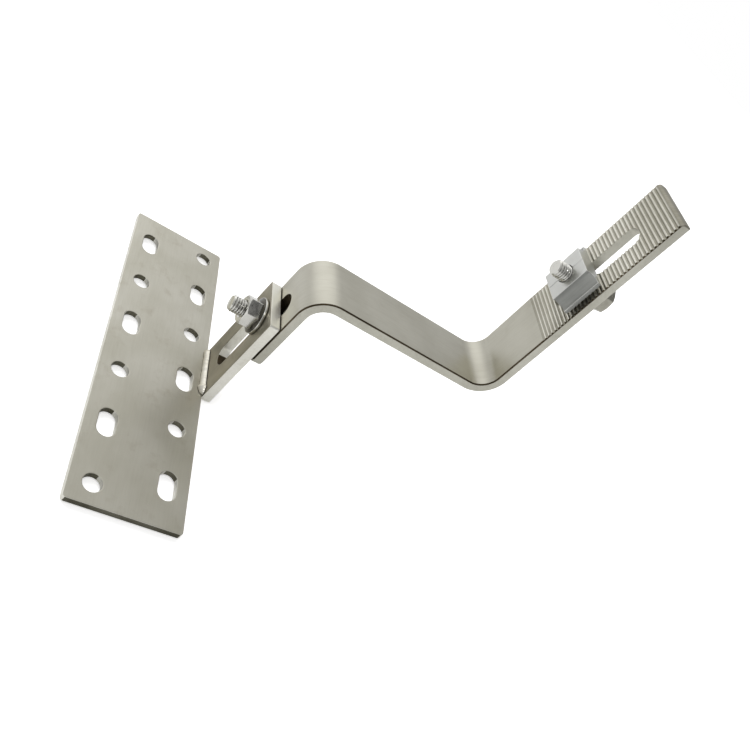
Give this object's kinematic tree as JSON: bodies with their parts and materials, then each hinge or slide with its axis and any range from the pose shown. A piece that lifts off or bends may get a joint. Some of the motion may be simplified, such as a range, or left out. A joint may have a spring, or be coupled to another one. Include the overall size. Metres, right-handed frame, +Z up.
{
  "type": "solar roof hook",
  "caption": "Adjustable stainless steel roof hook for a solar rail: screw plate with welded slotted bracket, bent flat arm and toothed clamp block.",
  "frame": {"origin": "middle of the base plate's underside, the face that is screwed to the rafter", "axes": "+Z up out of the plate, along the bracket; +Y along the plate's long side; +X from the plate towards the bracket and the arm"},
  "size_m": [0.17, 0.18, 0.2021],
  "materials": {
    "stainless_sheet": "dull mill finish",
    "stainless_bar": "satin",
    "weld_metal": "bright, rippled",
    "fastener_steel": "bright stainless",
    "clamp_aluminium": "extruded, natural"
  },
  "bodies": {
    "base": {"base_plate": "stainless_sheet", "upright_bracket": "stainless_bar", "weld_bead": "weld_metal"},
    "bracket_fastener": {"bracket_bolt": "fastener_steel", "bracket_nut": "fastener_steel"},
    "arm": {"hook_arm": "stainless_bar"},
    "clamp": {"rail_clamp": "clamp_aluminium", "clamp_bolt": "fastener_steel"}
  },
  "joints": [
    {"name": "bracket_bolt_slide", "type": "slide", "parent": "base", "child": "bracket_fastener", "axis": [0, 0, 1], "range_m": [-0.0308, 0.0012]},
    {"name": "arm_slide", "type": "slide", "parent": "bracket_fastener", "child": "arm", "axis": [0, 0, 1], "range_m": [-0.0118, 0.0011]},
    {"name": "rail_clamp_slide", "type": "slide", "parent": "arm", "child": "clamp", "axis": [-0.0576, 0, 0.9983], "range_m": [-0.0102, 0.0297]}
  ]
}
